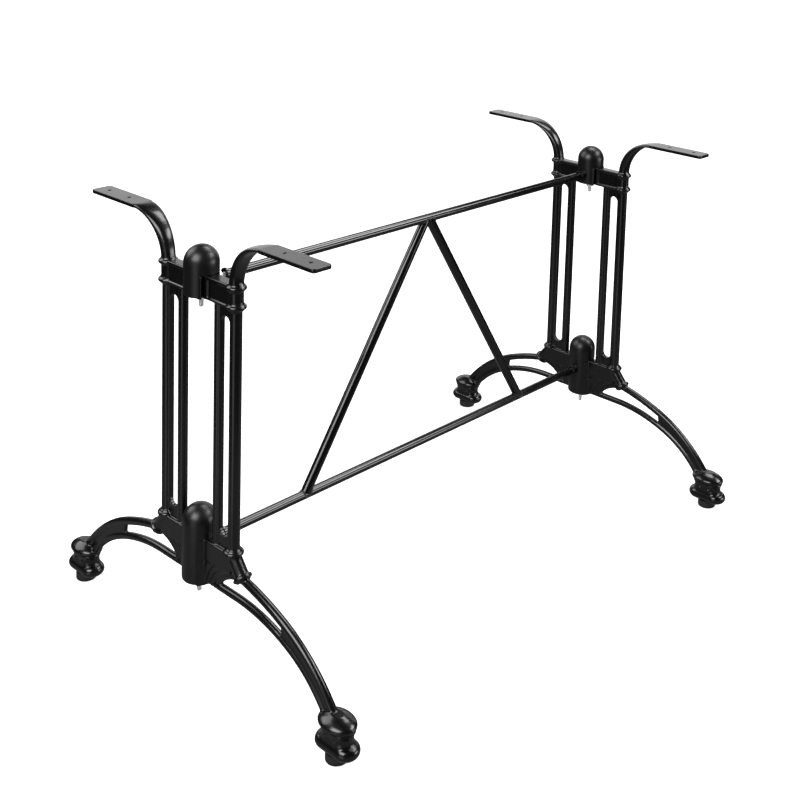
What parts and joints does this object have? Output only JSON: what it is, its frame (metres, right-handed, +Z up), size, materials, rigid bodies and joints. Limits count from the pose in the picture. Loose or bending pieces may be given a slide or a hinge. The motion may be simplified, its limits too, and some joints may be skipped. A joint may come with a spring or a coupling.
{
  "type": "table base",
  "caption": "Outdoor table base with cast end frames on curved legs, joined by round rails and a V brace, with flat arms that carry a tabletop.",
  "frame": {"origin": "centre of the base on the floor", "axes": "+X along the rails and the table's length, +Y across the table, +Z up"},
  "size_m": [1.0516, 0.7432, 0.72],
  "materials": {
    "casting_black": "satin black powder coat on a casting",
    "hub_black": "satin black powder coat on a casting",
    "tube_black": "satin black powder coat on steel tube",
    "zinc": "zinc plated steel",
    "glide_black": "moulded black plastic"
  },
  "bodies": {
    "root": {"brace_a": "tube_black", "brace_b": "tube_black", "glide_pad_a_left": "glide_black", "glide_pad_a_right": "glide_black", "glide_pad_b_left": "glide_black", "glide_pad_b_right": "glide_black", "glide_stud_a_left": "zinc", "glide_stud_a_right": "zinc", "glide_stud_b_left": "zinc", "glide_stud_b_right": "zinc", "hub_bottom_a": "hub_black", "hub_bottom_b": "hub_black", "hub_nut_bottom_a": "zinc", "hub_nut_bottom_b": "zinc", "hub_nut_top_a": "zinc", "hub_nut_top_b": "zinc", "hub_stud_bottom_a": "zinc", "hub_stud_bottom_b": "zinc", "hub_stud_top_a": "zinc", "hub_stud_top_b": "zinc", "hub_top_a": "hub_black", "hub_top_b": "hub_black", "hub_washer_bottom_a": "zinc", "hub_washer_bottom_b": "zinc", "hub_washer_top_a": "zinc", "hub_washer_top_b": "zinc", "leg_casting_a_left": "casting_black", "leg_casting_a_right": "casting_black", "leg_casting_b_left": "casting_black", "leg_casting_b_right": "casting_black", "rail_bottom": "tube_black", "rail_nut_bottom_a": "zinc", "rail_nut_bottom_b": "zinc", "rail_nut_top_a": "zinc", "rail_nut_top_b": "zinc", "rail_plug_bottom_a": "tube_black", "rail_plug_bottom_b": "tube_black", "rail_plug_top_a": "tube_black", "rail_plug_top_b": "tube_black", "rail_stud_bottom_a": "zinc", "rail_stud_bottom_b": "zinc", "rail_stud_top_a": "zinc", "rail_stud_top_b": "zinc", "rail_top": "tube_black", "rail_washer_bottom_a": "zinc", "rail_washer_bottom_b": "zinc", "rail_washer_top_a": "zinc", "rail_washer_top_b": "zinc"}
  },
  "joints": []
}
